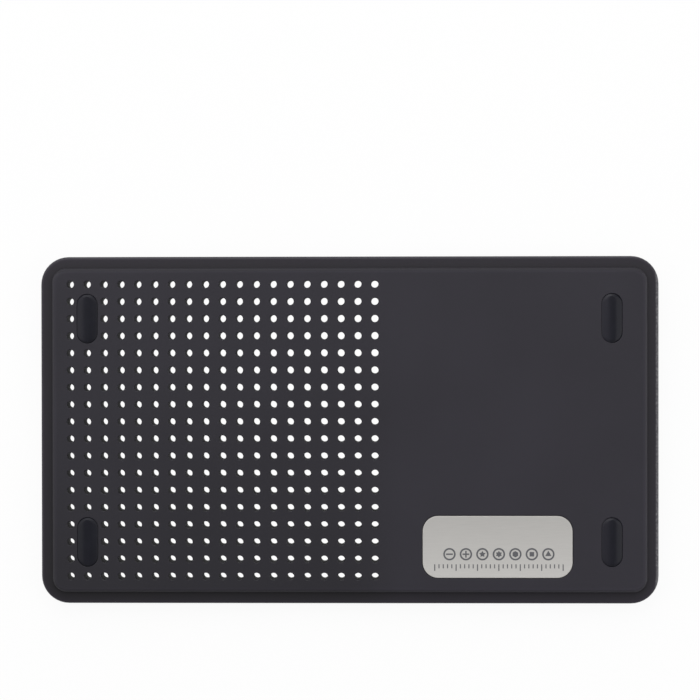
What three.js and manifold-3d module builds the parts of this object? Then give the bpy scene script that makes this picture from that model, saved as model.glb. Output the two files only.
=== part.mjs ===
// Screw tray: a moulded plate that stands on rubber feet, one half perforated for standing small screws in
// and the other half plain, with a metal plate let into its face and a magnet sheet glued underneath.
// Millimetres, +Z up, +X along the length. The origin is on the table, under the middle of the tray.

import * as THREE from "three";
import { mergeVertices } from "three/addons/utils/BufferGeometryUtils.js";
import Module from "manifold-3d";

// Moulded plate: a flat rim with a slightly raised panel inside it
const TRAY_LENGTH = 145;
const TRAY_WIDTH = 81.5;
const CORNER_RADIUS = 6.5;
const RIM_THICKNESS = 4;
const RIM_BAND = 2.7;
const RIM_ROUND = 0.6;
const PANEL_RISE = 1;
const PANEL_ROUND = 0.5;

// Screw holes: a grid centred across the width, starting at the left end
const HOLE_DIAMETER = 1.7;
const HOLE_PITCH_X = 3.97;
const HOLE_PITCH_Y = 4.03;
const HOLE_INSET_LEFT = 7.1;
const HOLE_FIELD_LENGTH = 73;
const HOLE_PANEL_MARGIN = 3.7;
const HOLE_LAND = 0.3;
const HOLE_SIDES = 6;

// Rubber feet: a head in a pocket on the face, a neck through the plate and a pad on the table
const FOOT_COLUMN = 1;
const FOOT_ROW = 2;
const FOOT_HEAD_LENGTH = 11;
const FOOT_HEAD_WIDTH = 4.3;
const FOOT_POCKET_DEPTH = 1.4;
const FOOT_POCKET_CLEARANCE = 0.3;
const FOOT_PROUD = 0.3;
const FOOT_CROWN = 0.6;
const FOOT_SHOULDER = 0.7;
const FOOT_NECK_CLEARANCE = 0.1;
const FOOT_PAD_OVERHANG = 0.2;
const FOOT_PAD_HEIGHT = 0.8;
const FOOT_PAD_ROUND = 0.3;

// Metal plate glued into a shallow recess of the plain half
const NAMEPLATE_LENGTH = 35;
const NAMEPLATE_WIDTH = 14.5;
const NAMEPLATE_RADIUS = 3.6;
const NAMEPLATE_THICKNESS = 0.5;
const NAMEPLATE_ROUND = 0.1;
const NAMEPLATE_PROUD = 0.05;
const NAMEPLATE_CLEARANCE = 0.15;
const NAMEPLATE_INSET_RIGHT = 20.3;
const NAMEPLATE_INSET_FRONT = 6.2;

// Magnet sheet glued to the roof of a pocket under the plain half
const MAGNET_THICKNESS = 2;
const MAGNET_CLEARANCE = 0.3;
const MAGNET_RADIUS = 2;
const MAGNET_ROOF = 2;
const MAGNET_WALL = 3;

// Glue films stop a little short of the pieces they hold
const GLUE_THICKNESS = 0.15;
const GLUE_SETBACK = 0.5;

// Facets of the curves, and how far a cutter runs past the face it cuts
const ARC_SEGMENTS = 4;
const ROUND_SEGMENTS = 2;
const OVERCUT = 1;
const MERGE_DISTANCE = 1e-4;

// Levels above the table
const PLATE_BOTTOM = FOOT_PAD_HEIGHT;
const RIM_TOP = PLATE_BOTTOM + RIM_THICKNESS;
const PANEL_TOP = RIM_TOP + PANEL_RISE;
const FOOT_SEAT = PANEL_TOP - FOOT_POCKET_DEPTH;
const FOOT_TOP = PANEL_TOP + FOOT_PROUD;
const NAMEPLATE_TOP = PANEL_TOP + NAMEPLATE_PROUD;
const NAMEPLATE_BACK = NAMEPLATE_TOP - NAMEPLATE_THICKNESS;
const NAMEPLATE_FLOOR = NAMEPLATE_BACK - GLUE_THICKNESS;
const MAGNET_CEILING = PANEL_TOP - MAGNET_ROOF;
const MAGNET_TOP = MAGNET_CEILING - GLUE_THICKNESS;

// Panel outline, inside the rim
const PANEL_LENGTH = TRAY_LENGTH - 2 * RIM_BAND;
const PANEL_WIDTH = TRAY_WIDTH - 2 * RIM_BAND;
const PANEL_RADIUS = CORNER_RADIUS - RIM_BAND;

// Hole grid: column 0 is at the left, row 0 at the rear
const HOLE_COLUMNS = Math.floor(HOLE_FIELD_LENGTH / HOLE_PITCH_X) + 1;
const HOLE_ROWS = Math.floor((PANEL_WIDTH - 2 * HOLE_PANEL_MARGIN) / HOLE_PITCH_Y) + 1;
const columnX = (column) => HOLE_INSET_LEFT - TRAY_LENGTH / 2 + column * HOLE_PITCH_X;
const rowY = (row) => ((HOLE_ROWS - 1) / 2 - row) * HOLE_PITCH_Y;

// The feet take the place of holes in the left half and are mirrored to the right end
const FOOT_X = -columnX(FOOT_COLUMN);
const FOOT_Y = rowY(FOOT_ROW);
const FOOT_PLACES = [
  { name: "foot_front_left", x: -FOOT_X, y: -FOOT_Y },
  { name: "foot_front_right", x: FOOT_X, y: -FOOT_Y },
  { name: "foot_rear_left", x: -FOOT_X, y: FOOT_Y },
  { name: "foot_rear_right", x: FOOT_X, y: FOOT_Y },
];
const POCKET_LENGTH = FOOT_HEAD_LENGTH + 2 * FOOT_POCKET_CLEARANCE;
const POCKET_WIDTH = FOOT_HEAD_WIDTH + 2 * FOOT_POCKET_CLEARANCE;
const NECK_LENGTH = FOOT_HEAD_LENGTH - 2 * FOOT_SHOULDER;
const NECK_WIDTH = FOOT_HEAD_WIDTH - 2 * FOOT_SHOULDER;
const SLOT_LENGTH = NECK_LENGTH + 2 * FOOT_NECK_CLEARANCE;
const SLOT_WIDTH = NECK_WIDTH + 2 * FOOT_NECK_CLEARANCE;
const PAD_LENGTH = FOOT_HEAD_LENGTH + 2 * FOOT_PAD_OVERHANG;
const PAD_WIDTH = FOOT_HEAD_WIDTH + 2 * FOOT_PAD_OVERHANG;

// Metal plate, at the front of the plain half
const NAMEPLATE_X = TRAY_LENGTH / 2 - NAMEPLATE_INSET_RIGHT - NAMEPLATE_LENGTH / 2;
const NAMEPLATE_Y = -TRAY_WIDTH / 2 + NAMEPLATE_INSET_FRONT + NAMEPLATE_WIDTH / 2;

// Magnet pocket, between the last column of holes and the right-hand feet
const MAGNET_LEFT = columnX(HOLE_COLUMNS - 1) + HOLE_DIAMETER / 2 + MAGNET_WALL;
const MAGNET_RIGHT = FOOT_X - PAD_WIDTH / 2 - MAGNET_WALL;
const MAGNET_POCKET_LENGTH = MAGNET_RIGHT - MAGNET_LEFT;
const MAGNET_POCKET_WIDTH = PANEL_WIDTH - 2 * MAGNET_WALL;
const MAGNET_X = (MAGNET_LEFT + MAGNET_RIGHT) / 2;

const wasm = await Module();
wasm.setup();

// A rectangle with round corners, centred on the origin
function roundedRectangle(length, width, radius) {
  const x = length / 2 - radius;
  const y = width / 2 - radius;
  const quarter = Math.PI / 2;
  const shape = new THREE.Shape();
  shape.absarc(x, y, radius, 0, quarter);
  shape.absarc(-x, y, radius, quarter, 2 * quarter);
  shape.absarc(-x, -y, radius, 2 * quarter, 3 * quarter);
  shape.absarc(x, -y, radius, 3 * quarter, 4 * quarter);
  return shape;
}

// A slot with half-round ends, centred on the origin and long in Y
function obround(length, width) {
  const radius = width / 2;
  const y = length / 2 - radius;
  const shape = new THREE.Shape();
  shape.absarc(0, y, radius, 0, Math.PI);
  shape.absarc(0, -y, radius, Math.PI, 2 * Math.PI);
  return shape;
}

// A polygon whose flats touch the true circle, so that a pin of that diameter passes
function roundHole(x, y) {
  const reach = HOLE_DIAMETER / 2 / Math.cos(Math.PI / HOLE_SIDES);
  const points = [];
  for (let side = 0; side < HOLE_SIDES; side += 1) {
    const angle = ((side + 0.5) * 2 * Math.PI) / HOLE_SIDES;
    points.push(new THREE.Vector2(x + reach * Math.cos(angle), y + reach * Math.sin(angle)));
  }
  return new THREE.Shape(points);
}

// A straight prism of one or more outlines between two levels
function prism(outlines, bottom, top) {
  const settings = { depth: top - bottom, bevelEnabled: false, curveSegments: ARC_SEGMENTS };
  return new THREE.ExtrudeGeometry(outlines, settings).translate(0, 0, bottom);
}

// A prism with its upper and lower edges rounded inwards
function softPrism(outline, bottom, top, round, segments = ROUND_SEGMENTS) {
  const settings = {
    depth: top - bottom - 2 * round,
    bevelThickness: round,
    bevelSize: round,
    bevelOffset: -round,
    bevelSegments: segments,
    curveSegments: ARC_SEGMENTS,
  };
  return new THREE.ExtrudeGeometry(outline, settings).translate(0, 0, bottom + round);
}

function solid(geometry) {
  geometry.deleteAttribute("normal");
  geometry.deleteAttribute("uv");
  const merged = mergeVertices(geometry, MERGE_DISTANCE);
  return new wasm.Manifold(
    new wasm.Mesh({
      numProp: 3,
      vertProperties: new Float32Array(merged.attributes.position.array),
      triVerts: new Uint32Array(merged.index.array),
    }),
  );
}

function geometryOf(body) {
  const { vertProperties, triVerts } = body.getMesh();
  const geometry = new THREE.BufferGeometry();
  geometry.setAttribute("position", new THREE.BufferAttribute(vertProperties, 3));
  geometry.setIndex(new THREE.BufferAttribute(triVerts, 1));
  geometry.computeVertexNormals();
  return geometry;
}

function namedMesh(name, geometry, material) {
  const mesh = new THREE.Mesh(geometry, material);
  mesh.name = name;
  return mesh;
}

// A hole is left out where it would come within a thin land of a foot's pocket
function clearOfFeet(x, y) {
  const straight = POCKET_LENGTH / 2 - POCKET_WIDTH / 2;
  return FOOT_PLACES.every((foot) => {
    const beside = Math.abs(x - foot.x);
    const beyond = Math.max(Math.abs(y - foot.y) - straight, 0);
    return Math.hypot(beside, beyond) - POCKET_WIDTH / 2 > HOLE_DIAMETER / 2 + HOLE_LAND;
  });
}

function screwHoles() {
  const outlines = [];
  for (let column = 0; column < HOLE_COLUMNS; column += 1) {
    for (let row = 0; row < HOLE_ROWS; row += 1) {
      if (clearOfFeet(columnX(column), rowY(row))) {
        outlines.push(roundHole(columnX(column), rowY(row)));
      }
    }
  }
  return prism(outlines, PLATE_BOTTOM - OVERCUT, PANEL_TOP + OVERCUT);
}

function trayPlate() {
  const rimOutline = roundedRectangle(TRAY_LENGTH, TRAY_WIDTH, CORNER_RADIUS);
  const panelOutline = roundedRectangle(PANEL_LENGTH, PANEL_WIDTH, PANEL_RADIUS);
  const rim = softPrism(rimOutline, PLATE_BOTTOM, RIM_TOP, RIM_ROUND);
  const panel = softPrism(panelOutline, PLATE_BOTTOM + RIM_THICKNESS / 2, PANEL_TOP, PANEL_ROUND);
  let plate = solid(rim).add(solid(panel)).subtract(solid(screwHoles()));

  const pocketOutline = obround(POCKET_LENGTH, POCKET_WIDTH);
  const slotOutline = obround(SLOT_LENGTH, SLOT_WIDTH);
  for (const foot of FOOT_PLACES) {
    const pocket = prism(pocketOutline, FOOT_SEAT, PANEL_TOP + OVERCUT).translate(foot.x, foot.y, 0);
    const slot = prism(slotOutline, PLATE_BOTTOM - OVERCUT, FOOT_SEAT + OVERCUT).translate(foot.x, foot.y, 0);
    plate = plate.subtract(solid(pocket)).subtract(solid(slot));
  }

  const recessOutline = roundedRectangle(
    NAMEPLATE_LENGTH + 2 * NAMEPLATE_CLEARANCE,
    NAMEPLATE_WIDTH + 2 * NAMEPLATE_CLEARANCE,
    NAMEPLATE_RADIUS + NAMEPLATE_CLEARANCE,
  );
  const recess = prism(recessOutline, NAMEPLATE_FLOOR, PANEL_TOP + OVERCUT);
  recess.translate(NAMEPLATE_X, NAMEPLATE_Y, 0);

  const magnetOutline = roundedRectangle(MAGNET_POCKET_LENGTH, MAGNET_POCKET_WIDTH, MAGNET_RADIUS);
  const magnetPocket = prism(magnetOutline, PLATE_BOTTOM - OVERCUT, MAGNET_CEILING).translate(MAGNET_X, 0, 0);
  return geometryOf(plate.subtract(solid(recess)).subtract(solid(magnetPocket)));
}

// Built at the middle of its own pad, so that one shape serves every foot
function rubberFoot() {
  const pad = softPrism(obround(PAD_LENGTH, PAD_WIDTH), 0, PLATE_BOTTOM, FOOT_PAD_ROUND);
  const neck = prism(obround(NECK_LENGTH, NECK_WIDTH), PLATE_BOTTOM / 2, FOOT_TOP - FOOT_CROWN);
  const headOutline = obround(FOOT_HEAD_LENGTH, FOOT_HEAD_WIDTH);
  const shoulder = prism(headOutline, FOOT_SEAT, FOOT_TOP - FOOT_CROWN);
  const crown = softPrism(headOutline, FOOT_SEAT, FOOT_TOP, FOOT_CROWN, ROUND_SEGMENTS + 1);
  return geometryOf(solid(pad).add(solid(neck)).add(solid(shoulder)).add(solid(crown)));
}

function nameplate() {
  const outline = roundedRectangle(NAMEPLATE_LENGTH, NAMEPLATE_WIDTH, NAMEPLATE_RADIUS);
  return softPrism(outline, NAMEPLATE_BACK, NAMEPLATE_TOP, NAMEPLATE_ROUND);
}

function nameplateGlue() {
  const outline = roundedRectangle(
    NAMEPLATE_LENGTH - 2 * GLUE_SETBACK,
    NAMEPLATE_WIDTH - 2 * GLUE_SETBACK,
    NAMEPLATE_RADIUS - GLUE_SETBACK,
  );
  return prism(outline, NAMEPLATE_FLOOR, NAMEPLATE_BACK);
}

// The magnet sheet and its glue film differ only in how far they stay inside the pocket
function magnetLayer(setback, bottom, top) {
  const outline = roundedRectangle(
    MAGNET_POCKET_LENGTH - 2 * setback,
    MAGNET_POCKET_WIDTH - 2 * setback,
    MAGNET_RADIUS - setback,
  );
  return prism(outline, bottom, top);
}

const blackPlastic = new THREE.MeshStandardMaterial({ color: 0x39383e, roughness: 0.6, metalness: 0 });
const blackRubber = new THREE.MeshStandardMaterial({ color: 0x26262b, roughness: 0.5, metalness: 0 });
const brushedSteel = new THREE.MeshStandardMaterial({ color: 0xb2b1af, roughness: 0.35, metalness: 1 });
const glueFilm = new THREE.MeshStandardMaterial({ color: 0xd8d6ce, roughness: 0.6, metalness: 0 });
const magnetRubber = new THREE.MeshStandardMaterial({ color: 0x3a302a, roughness: 0.8, metalness: 0 });

const tray = new THREE.Group();
tray.add(namedMesh("tray_plate", trayPlate(), blackPlastic));

const footGeometry = rubberFoot();
for (const place of FOOT_PLACES) {
  const foot = namedMesh(place.name, footGeometry, blackRubber);
  foot.position.set(place.x, place.y, 0);
  tray.add(foot);
}

const inlay = new THREE.Group();
inlay.position.set(NAMEPLATE_X, NAMEPLATE_Y, 0);
inlay.add(namedMesh("nameplate", nameplate(), brushedSteel));
inlay.add(namedMesh("nameplate_glue", nameplateGlue(), glueFilm));
tray.add(inlay);

const magnet = new THREE.Group();
magnet.position.set(MAGNET_X, 0, 0);
const magnetSheet = magnetLayer(MAGNET_CLEARANCE, MAGNET_TOP - MAGNET_THICKNESS, MAGNET_TOP);
magnet.add(namedMesh("magnet_sheet", magnetSheet, magnetRubber));
const magnetGlue = magnetLayer(MAGNET_CLEARANCE + GLUE_SETBACK, MAGNET_TOP, MAGNET_CEILING);
magnet.add(namedMesh("magnet_glue", magnetGlue, glueFilm));
tray.add(magnet);

export default tray;
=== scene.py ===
# %% [markdown]
# # A screw tray
# A flat tray for the small screws of a phone under repair. One half is a grid of holes in which screws
# stand by their heads, the other half is plain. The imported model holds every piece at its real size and
# place, so this lesson reads boxes from it and adds what a mould maker would add: edge roundings, truly
# round holes, and the finish of each surface.

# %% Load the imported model
import math

import bmesh
import bpy
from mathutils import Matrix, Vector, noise


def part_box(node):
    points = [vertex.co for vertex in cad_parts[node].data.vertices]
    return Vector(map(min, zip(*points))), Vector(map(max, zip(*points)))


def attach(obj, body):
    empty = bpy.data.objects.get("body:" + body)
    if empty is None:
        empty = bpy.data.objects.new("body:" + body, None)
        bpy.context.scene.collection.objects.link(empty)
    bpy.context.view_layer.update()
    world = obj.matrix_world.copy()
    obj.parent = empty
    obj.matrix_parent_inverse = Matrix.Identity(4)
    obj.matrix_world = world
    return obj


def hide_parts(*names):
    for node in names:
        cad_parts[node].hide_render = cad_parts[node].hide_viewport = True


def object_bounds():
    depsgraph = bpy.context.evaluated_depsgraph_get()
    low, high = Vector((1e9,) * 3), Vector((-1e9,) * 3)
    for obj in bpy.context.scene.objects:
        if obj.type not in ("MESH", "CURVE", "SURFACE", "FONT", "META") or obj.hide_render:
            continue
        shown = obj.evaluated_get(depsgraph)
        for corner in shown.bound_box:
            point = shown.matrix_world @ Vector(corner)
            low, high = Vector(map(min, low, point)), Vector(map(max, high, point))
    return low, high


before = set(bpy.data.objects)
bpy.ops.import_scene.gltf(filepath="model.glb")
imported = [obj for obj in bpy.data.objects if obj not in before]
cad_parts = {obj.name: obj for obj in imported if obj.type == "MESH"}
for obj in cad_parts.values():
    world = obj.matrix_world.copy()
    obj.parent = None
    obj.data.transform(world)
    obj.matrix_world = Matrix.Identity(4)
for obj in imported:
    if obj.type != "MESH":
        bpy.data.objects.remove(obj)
cad_low, cad_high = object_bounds()
print("packed nodes:", sorted(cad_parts))

# %% [markdown]
# ## Sizes
# Blender works in metres, and a tray is easier to think of in millimetres, so one factor turns one into
# the other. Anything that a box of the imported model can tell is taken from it. The rest repeats the
# values that the tray was designed with.

# %% Sizes of the plate
MM = 0.001
PANEL_RISE = 1.0 * MM
CORNER_RADIUS = 6.5 * MM
RIM_BAND = 2.7 * MM
plate_low, plate_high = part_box("tray_plate")
PLATE_LENGTH = plate_high.x - plate_low.x
PLATE_WIDTH = plate_high.y - plate_low.y
BOTTOM = plate_low.z
TOP = plate_high.z
RIM_TOP = TOP - PANEL_RISE
print(f"plate {PLATE_LENGTH / MM:.1f} x {PLATE_WIDTH / MM:.1f} mm")
print(f"plate from {BOTTOM / MM:.1f} to {TOP / MM:.1f} mm above the table")

# %% [markdown]
# ## Outlines
# Almost every piece here is a flat outline that changes a little with height: the rim, the pockets, the
# feet, the metal plate. Two outlines are enough for all of them, a rectangle with round corners and a slot
# with half-round ends. Curves could draw them too, but plain lists of points are easy to grow and shrink.

# %% Outlines
def rounded_rectangle(length, width, radius, steps=10):
    """Points of a rectangle with round corners, centred, counter-clockwise."""
    points = []
    for corner, (side_x, side_y) in enumerate(((1, 1), (-1, 1), (-1, -1), (1, -1))):
        for step in range(steps + 1):
            angle = math.pi / 2 * (corner + step / steps)
            x = side_x * (length / 2 - radius) + radius * math.cos(angle)
            y = side_y * (width / 2 - radius) + radius * math.sin(angle)
            points.append((x, y))
    return points


def obround(length, width, steps=14):
    """Points of a slot with half-round ends, long in Y, counter-clockwise."""
    radius = width / 2
    points = []
    for end in (0, 1):
        for step in range(steps + 1):
            angle = math.pi * (end + step / steps)
            y = (1 - 2 * end) * (length / 2 - radius) + radius * math.sin(angle)
            points.append((radius * math.cos(angle), y))
    return points


print("a corner of the plate has", len(rounded_rectangle(1, 1, 0.1)) // 4, "points")

# %% [markdown]
# ## Lofts
# A box with a Bevel modifier would give one radius to all edges. A loft gives each edge its own: outlines
# are stacked at their heights and skinned with quads. A profile says how far each outline is grown, how
# high it lies, and the wear, painted highlight and painted shade that it carries, which is kept as an
# attribute for the finish to read. Flat faces with many openings are filled last, from the edges that are
# still open at their height.

# %% Profiles and lofts
def arc(grow, height, radius, start, end, steps=4, wear_and_painted_light=0.0):
    """Profile points round an edge: (grow, height) of its centre, then its angles in degrees."""
    angles = [math.radians(start + (end - start) * step / steps) for step in range(steps + 1)]
    return [(grow + radius * math.cos(a), height + radius * math.sin(a), wear_and_painted_light) for a in angles]


def loft(shell, outline, profile, place=(0, 0)):
    """Skin the outlines that a profile of (grow, height, wear) points describes, with quads."""
    wear_and_light_layer = shell.verts.layers.float.get("wear_and_painted_light") or shell.verts.layers.float.new("wear_and_painted_light")
    rings = []
    for grow, height, wear_and_painted_light in profile:
        ring = [shell.verts.new((x + place[0], y + place[1], height)) for x, y in outline(grow)]
        for vert in ring:
            vert[wear_and_light_layer] = wear_and_painted_light
        rings.append(ring)
    for lower, upper in zip(rings, rings[1:]):
        for i in range(len(lower)):
            j = (i + 1) % len(lower)
            shell.faces.new((lower[i], lower[j], upper[j], upper[i]))
    return rings


print("a quarter round has", len(arc(0, 0, 1, 0, 90)), "profile points")

# %% Flat fills and finished meshes
SAME_POINT = 0.0001 * MM


def fill_level(shell, height):
    """Close every open edge that lies at one height, leaving the holes between them open."""
    edges = [
        edge
        for edge in shell.edges
        if edge.is_boundary and all(abs(vert.co.z - height) < SAME_POINT for vert in edge.verts)
    ]
    bmesh.ops.triangle_fill(shell, use_beauty=True, use_dissolve=False, edges=edges)


def finish_mesh(name, shell, material, sharp_degrees=35):
    """Turn a shell into an object, smooth except where its faces meet at a real angle."""
    open_edges = sum(1 for edge in shell.edges if not edge.is_manifold)
    bmesh.ops.recalc_face_normals(shell, faces=shell.faces)
    mesh = bpy.data.meshes.new(name)
    shell.to_mesh(mesh)
    shell.free()
    mesh.materials.append(material)
    mesh.shade_smooth()
    mesh.set_sharp_from_angle(angle=math.radians(sharp_degrees))
    piece = bpy.data.objects.new(name, mesh)
    bpy.context.scene.collection.objects.link(piece)
    mesh.calc_loop_triangles()
    print(f"{name}: {len(mesh.loop_triangles)} triangles, {open_edges} open edges")
    return piece


print("points closer than", SAME_POINT / MM, "mm count as one")

# %% [markdown]
# ## Node helpers
# Shader trees and Geometry Nodes trees are built with the same two calls: make a node, then fill or join
# its inputs. One helper does both. A few more give the nodes that come back in every finish, so the trees
# below read as a list of what flows into what.

# %% Node helpers
def node(tree, kind, inputs=None, **settings):
    """Add a node, set its options, then fill its inputs with values or join them to sockets."""
    made = tree.nodes.new(kind)
    for option, value in settings.items():
        setattr(made, option, value)
    for key, value in (inputs or {}).items():
        if isinstance(value, bpy.types.NodeSocket):
            tree.links.new(value, made.inputs[key])
        else:
            made.inputs[key].default_value = value
    return made


def calculate(tree, operation, first, second=0.0):
    """One Math node, as its result socket."""
    return node(tree, "ShaderNodeMath", {0: first, 1: second}, operation=operation).outputs[0]


def ranged(tree, value, low, high, to_low=0.0, to_high=1.0, shape="LINEAR"):
    """Spread a value from one range over another and stop at its ends, as a result socket."""
    limits = {"From Min": low, "From Max": high, "To Min": to_low, "To Max": to_high}
    return node(tree, "ShaderNodeMapRange", {"Value": value, **limits}, interpolation_type=shape).outputs[0]


print("node helpers ready")

# %% Finish helpers
def new_finish(name):
    """An empty node material, with its tree, its Principled shader and its Object coordinates."""
    material = bpy.data.materials.new(name)
    material.use_nodes = True
    tree = material.node_tree
    shader = tree.nodes["Principled BSDF"]
    position = tree.nodes.new("ShaderNodeTexCoord").outputs["Object"]
    return material, tree, shader, position


def grain(tree, vector, scale, detail=3.0):
    """The value of a noise with so many grains to the metre."""
    made = node(tree, "ShaderNodeTexNoise", {"Vector": vector, "Scale": scale, "Detail": detail})
    return made.outputs["Fac"]


def two_tones(tree, value, dark, pale, start=0.0, end=1.0):
    """A colour that goes from a dark tone to a pale one between two values."""
    ramp = node(tree, "ShaderNodeValToRGB", {"Fac": value})
    for stop, position, colour in zip(ramp.color_ramp.elements, (start, end), (dark, pale)):
        stop.position = position
        stop.color = (*colour, 1)
    return ramp.outputs["Color"]


def relief(tree, shader, height, strength, depth):
    """Raise and lower the skin of a finish by a value."""
    bump = node(tree, "ShaderNodeBump", {"Height": height, "Strength": strength, "Distance": depth})
    tree.links.new(bump.outputs["Normal"], shader.inputs["Normal"])


print("finish helpers ready")

# %% [markdown]
# ## Moulded black plastic
# The plate comes out of a mould whose steel was spark-eroded, so its skin is a fine, even stipple that
# scatters light, with hardly any gloss. Colour alone would look like paper. The tone drifts a little with
# a broad noise. The perforated half is painted paler at the rear than at the front, a painted shade of the
# light that comes from behind. The low rim is painted darker than the panel, a painted shade below the
# panel's step, and it is a trace redder of its own. The attribute of the mesh carries wear and painted
# light: above zero an edge gets a painted highlight and more shine, below zero a crease or edge gets
# painted shade and less shine. The outer edge at the plain end, where the tray is picked up, is scuffed in
# fine grey specks.

# %% Tone of the plastic
PAINTED_SHADE_DRIFT = 3.8
PAINTED_FRONT_SHADE = 0.155
RIM_PAINTED_SHADE = 0.68
RIM_GREEN = 0.9
RIM_LEVEL = RIM_TOP + 0.2 * MM
PANEL_LEVEL = TOP - 0.1 * MM
PLAIN_FROM = 14 * MM
PERFORATED_TO = 2 * MM
PAINTED_LIGHT_LIFT = 0.5


def plastic_tone(tree, position, clouds, rub_and_painted_light):
    """Colour of the plastic before it is scuffed, with painted shade and painted highlights in it."""
    axes = node(tree, "ShaderNodeSeparateXYZ", {0: position}).outputs
    tone = two_tones(tree, clouds, (0.0188, 0.0169, 0.0246), (0.0224, 0.0203, 0.0294), start=0.3, end=0.72)
    perforated = ranged(tree, axes["X"], PLAIN_FROM, PERFORATED_TO, shape="SMOOTHSTEP")
    # Painted shade: the perforated half is painted darker towards the front, away from the light behind it.
    front_shade_painted = calculate(tree, "MULTIPLY", axes["Y"], PAINTED_SHADE_DRIFT)
    front_shade_painted = calculate(tree, "SUBTRACT", front_shade_painted, PAINTED_FRONT_SHADE)
    drift = calculate(tree, "ADD", calculate(tree, "MULTIPLY", perforated, front_shade_painted), 1.0)
    # Painted shade: the low rim is painted darker than the panel, for the shade below the panel's step.
    rim = ranged(tree, axes["Z"], RIM_LEVEL, PANEL_LEVEL, to_low=RIM_PAINTED_SHADE)
    depth = calculate(tree, "MULTIPLY", rim, drift)
    # Painted light from the attribute: its positive values paint edges paler as a highlight, its negative
    # values paint creases and edges darker as shade.
    depth = calculate(tree, "ADD", depth, calculate(tree, "MULTIPLY", rub_and_painted_light, PAINTED_LIGHT_LIFT))
    tone = node(tree, "ShaderNodeVectorMath", {0: tone, "Scale": depth}, operation="SCALE").outputs[0]
    green = ranged(tree, axes["Z"], RIM_LEVEL, PANEL_LEVEL, to_low=RIM_GREEN)
    tint = node(tree, "ShaderNodeCombineXYZ", {"X": 1.0, "Y": green, "Z": 1.0}).outputs[0]
    return node(tree, "ShaderNodeVectorMath", {0: tone, 1: tint}, operation="MULTIPLY").outputs[0]


print("rim at", RIM_PAINTED_SHADE, "of the panel's tone")

# %% Scuffs on the plain end
SCUFF_GREY = (0.3, 0.3, 0.31, 1)
SCUFF_START = plate_high.x - 1.0 * MM
SCUFF_FULL = plate_high.x - 0.7 * MM


def scuffed_plastic(tree, position, rub_and_painted_light, tone):
    """Mix grey specks into the tone along the outer edge of the plain end."""
    along = node(tree, "ShaderNodeSeparateXYZ", {0: position}).outputs["X"]
    plain_end = ranged(tree, along, SCUFF_START, SCUFF_FULL)
    specks = ranged(tree, grain(tree, position, scale=1500.0), low=0.42, high=0.68, to_low=0.3)
    worn = calculate(tree, "MULTIPLY", calculate(tree, "MULTIPLY", rub_and_painted_light, specks), plain_end)
    mixed = node(tree, "ShaderNodeMix", {"Factor": worn, 6: tone, 7: SCUFF_GREY}, data_type="RGBA")
    return mixed.outputs[2]


print("scuffs on the last", round((plate_high.x - SCUFF_START) / MM, 1), "mm of the plate")

# %% Moulded black plastic
RUB_POLISH = 0.25


def moulded_plastic():
    material, tree, shader, position = new_finish("moulded_black_plastic")
    clouds = grain(tree, position, scale=38.0, detail=5.0)
    # The attribute carries wear and painted light: painted highlights above zero, painted shade below zero.
    rub_and_painted_light = node(tree, "ShaderNodeAttribute", attribute_name="wear_and_painted_light").outputs["Fac"]
    tone = plastic_tone(tree, position, clouds, rub_and_painted_light)
    tree.links.new(scuffed_plastic(tree, position, rub_and_painted_light, tone), shader.inputs["Base Color"])
    dullness = ranged(tree, clouds, 0.0, 1.0, to_low=0.5, to_high=0.62)
    polish = calculate(tree, "MULTIPLY", rub_and_painted_light, RUB_POLISH)
    tree.links.new(calculate(tree, "SUBTRACT", dullness, polish), shader.inputs["Roughness"])
    stipple = grain(tree, position, scale=2600.0, detail=2.0)
    pits = node(tree, "ShaderNodeTexVoronoi", {"Vector": position, "Scale": 1700.0}).outputs["Distance"]
    relief(tree, shader, calculate(tree, "ADD", stipple, pits), strength=0.22, depth=0.03 * MM)
    shader.inputs["Specular IOR Level"].default_value = 0.4
    return material


plastic = moulded_plastic()
print("finish:", plastic.name)

# %% [markdown]
# ## The screw holes
# Eighteen rows of nineteen round holes, each with a small lead-in at both ends so that screws drop in
# easily. A Boolean with hundreds of cutters would work, but it leaves a ragged mesh. Here one sleeve is
# revolved from a four-point profile, and Geometry Nodes copies it to every point of a grid, except where
# a rubber foot takes the place of the holes. The flat faces are filled in between afterwards.

# %% Sizes of the holes
HOLE_COLUMNS = 19
HOLE_ROWS = 18
HOLE_PITCH_X = 3.97 * MM
HOLE_PITCH_Y = 4.03 * MM
HOLE_RADIUS = 0.85 * MM
HOLE_LEAD_IN = 0.12 * MM
HOLE_SIDES = 20
HOLE_LAND = 0.3 * MM
HOLE_FIRST_X = plate_low.x + 7.1 * MM
HEAD_LENGTH = 11.0 * MM
HEAD_WIDTH = 4.3 * MM
POCKET_CLEARANCE = 0.3 * MM
foot_places = {}
for foot_name in ("foot_front_left", "foot_front_right", "foot_rear_left", "foot_rear_right"):
    foot_low, foot_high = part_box(foot_name)
    foot_places[foot_name] = ((foot_low.x + foot_high.x) / 2, (foot_low.y + foot_high.y) / 2)
    print(foot_name, "at", [round(value / MM, 2) for value in foot_places[foot_name]], "mm")

# %% Start and end of a Geometry Nodes tree
def start_tree(name, whole_numbers, lengths, vectors=()):
    """A tree with named inputs, and the sockets that give their values."""
    tree = bpy.data.node_groups.new(name, "GeometryNodeTree")
    tree.interface.new_socket("Geometry", in_out="OUTPUT", socket_type="NodeSocketGeometry")
    kinds = {"NodeSocketInt": whole_numbers, "NodeSocketFloat": lengths, "NodeSocketVector": vectors}
    kinds["NodeSocketMaterial"] = ("Material",)
    for kind, input_names in kinds.items():
        for input_name in input_names:
            tree.interface.new_socket(input_name, in_out="INPUT", socket_type=kind)
    return tree, tree.nodes.new("NodeGroupInput").outputs


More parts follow.
